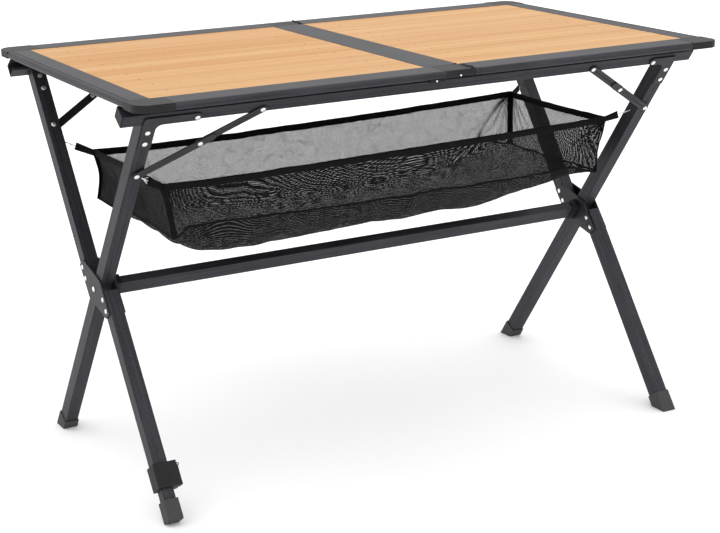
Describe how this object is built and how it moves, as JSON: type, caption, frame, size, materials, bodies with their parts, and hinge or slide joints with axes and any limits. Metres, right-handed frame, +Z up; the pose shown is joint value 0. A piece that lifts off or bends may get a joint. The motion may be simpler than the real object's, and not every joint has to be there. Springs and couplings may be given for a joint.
{
  "type": "camp kitchen table",
  "caption": "Folding camp kitchen table: slatted bamboo top in a dark metal rim, on two crossed leg frames with a net shelf and one levelling foot.",
  "frame": {"origin": "on the ground under the middle of the table", "axes": "+X along the table to the right, +Y to the back, +Z up"},
  "size_m": [1.16, 0.7, 0.7426],
  "materials": {
    "leg_metal": "anthracite anodised tube",
    "apron_metal": "anthracite anodised channel",
    "bracket_metal": "powder-coated plate",
    "stay_metal": "powder-coated flat link",
    "rivet_steel": "bright rivet steel",
    "hook_wire": "bright bent wire",
    "moulded_black": "black moulded nylon",
    "foot_rubber": "black rubber",
    "net_mesh": "black polyester net",
    "net_tape": "black woven binding tape",
    "level_metal": "anthracite anodised tube",
    "lever_metal": "dark coated lever",
    "rim_metal": "anthracite anodised rim profile",
    "slat_bamboo": "varnished bamboo",
    "screw_steel": "small countersunk screw",
    "batten_metal": "dark flat bar"
  },
  "bodies": {
    "front_frame": {"long_leg_left": "leg_metal", "long_leg_right": "leg_metal", "apron_front": "apron_metal", "bracket_front_left": "bracket_metal", "bracket_front_right": "bracket_metal", "stay_lower_front": "stay_metal", "stay_upper_front": "stay_metal", "rivets_front": "rivet_steel", "pivot_bolts": "rivet_steel", "stretcher": "leg_metal", "stretcher_sockets": "moulded_black", "foot_back_left": "foot_rubber", "foot_back_right": "foot_rubber", "apron_plugs": "moulded_black", "net_floor": "net_mesh", "net_front": "net_mesh", "net_back": "net_mesh", "net_left": "net_mesh", "net_right": "net_mesh", "net_binding": "net_tape", "net_hooks_front": "hook_wire"},
    "back_frame": {"upper_leg_left": "leg_metal", "upper_leg_right": "leg_metal", "lower_leg_left": "leg_metal", "lower_leg_right": "leg_metal", "hub_plates_outer": "bracket_metal", "hub_plates_inner": "bracket_metal", "apron_back": "apron_metal", "bracket_back_left": "bracket_metal", "bracket_back_right": "bracket_metal", "stay_lower_back": "stay_metal", "stay_upper_back": "stay_metal", "rivets_back": "rivet_steel", "foot_front_right": "foot_rubber", "clamp_collar": "moulded_black", "leg_plugs": "moulded_black", "net_hooks_back": "hook_wire"},
    "level_leg": {"level_tube": "level_metal", "level_foot": "foot_rubber"},
    "lever": {"clamp_lever": "lever_metal"},
    "top_left": {"end_profile_left": "rim_metal", "corner_caps_left": "moulded_black", "rail_left_front": "rim_metal", "rail_left_back": "rim_metal", "slats_left": "slat_bamboo", "slat_screws_left": "screw_steel", "battens_left": "batten_metal", "crossbar": "rim_metal", "t_caps": "moulded_black", "seam_clips": "moulded_black", "cap_screws": "rivet_steel", "hinge_pins": "rivet_steel"},
    "top_right": {"end_profile_right": "rim_metal", "corner_caps_right": "moulded_black", "rail_right_front": "rim_metal", "rail_right_back": "rim_metal", "slats_right": "slat_bamboo", "slat_screws_right": "screw_steel", "battens_right": "batten_metal", "rail_plugs": "rim_metal"}
  },
  "joints": [
    {"name": "x_fold", "type": "hinge", "parent": "front_frame", "child": "back_frame", "pos_m": [0, 0, 0.35], "axis": [1, 0, 0], "range_deg": [0, 70], "deforming": ["net_floor", "net_front", "net_back", "net_left", "net_right", "net_binding"]},
    {"name": "top_lift", "type": "slide", "parent": "front_frame", "child": "top_left", "axis": [0, 0, 1], "range_m": [0, 0.46]},
    {"name": "top_fold", "type": "hinge", "parent": "top_left", "child": "top_right", "pos_m": [0.0383, 0, 0.7404], "axis": [0, -1, 0], "range_deg": [0, 180]},
    {"name": "foot_extend", "type": "slide", "parent": "back_frame", "child": "level_leg", "axis": [0, -0.5878, -0.809], "range_m": [-0.018, 0.06]},
    {"name": "lever_swing", "type": "hinge", "parent": "back_frame", "child": "lever", "pos_m": [-0.4974, -0.22838, 0.0833], "axis": [0, 0.809, -0.5878], "range_deg": [-100, 0]}
  ],
  "couplings": [
    {"joint": "top_lift", "follows": "x_fold", "m_per_rad": 0.37}
  ]
}
